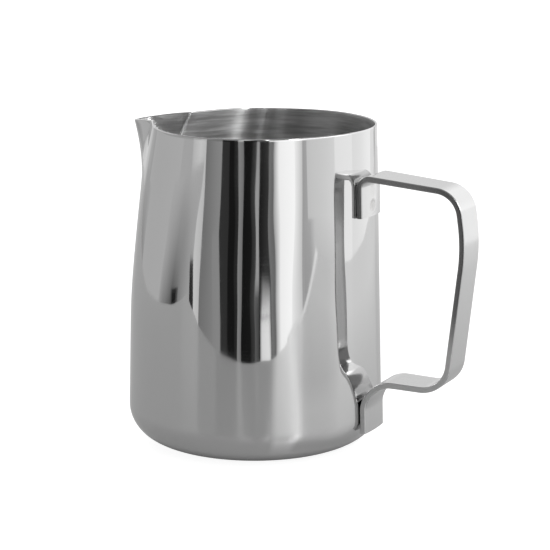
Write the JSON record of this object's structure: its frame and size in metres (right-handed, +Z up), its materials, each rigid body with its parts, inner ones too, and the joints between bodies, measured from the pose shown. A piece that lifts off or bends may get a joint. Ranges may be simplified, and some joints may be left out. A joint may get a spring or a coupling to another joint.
{
  "type": "milk frothing pitcher",
  "caption": "Straight-sided steel jug with a drawn round base, a pressed pouring beak in its open rim and a flat-strip side handle, for steaming and pouring milk",
  "frame": {"origin": "centre of the base's standing plane, on the axis of the round cup", "axes": "+Z up along the cup's axis, +X from the axis towards the handle, the spout points along -X, +Y completes the right hand"},
  "size_m": [0.1295, 0.09, 0.1117],
  "materials": {
    "polished_steel": "stainless steel sheet, mirror-polished outside, brushed in rings inside",
    "strip_steel": "stainless steel strip, polished faces, satin sheared edges",
    "weld_steel": "resistance-weld nuggets, dull"
  },
  "bodies": {
    "root": {"body_shell": "polished_steel", "handle_strap": "strip_steel", "upper_welds": "weld_steel", "foot_welds": "weld_steel"}
  },
  "joints": []
}
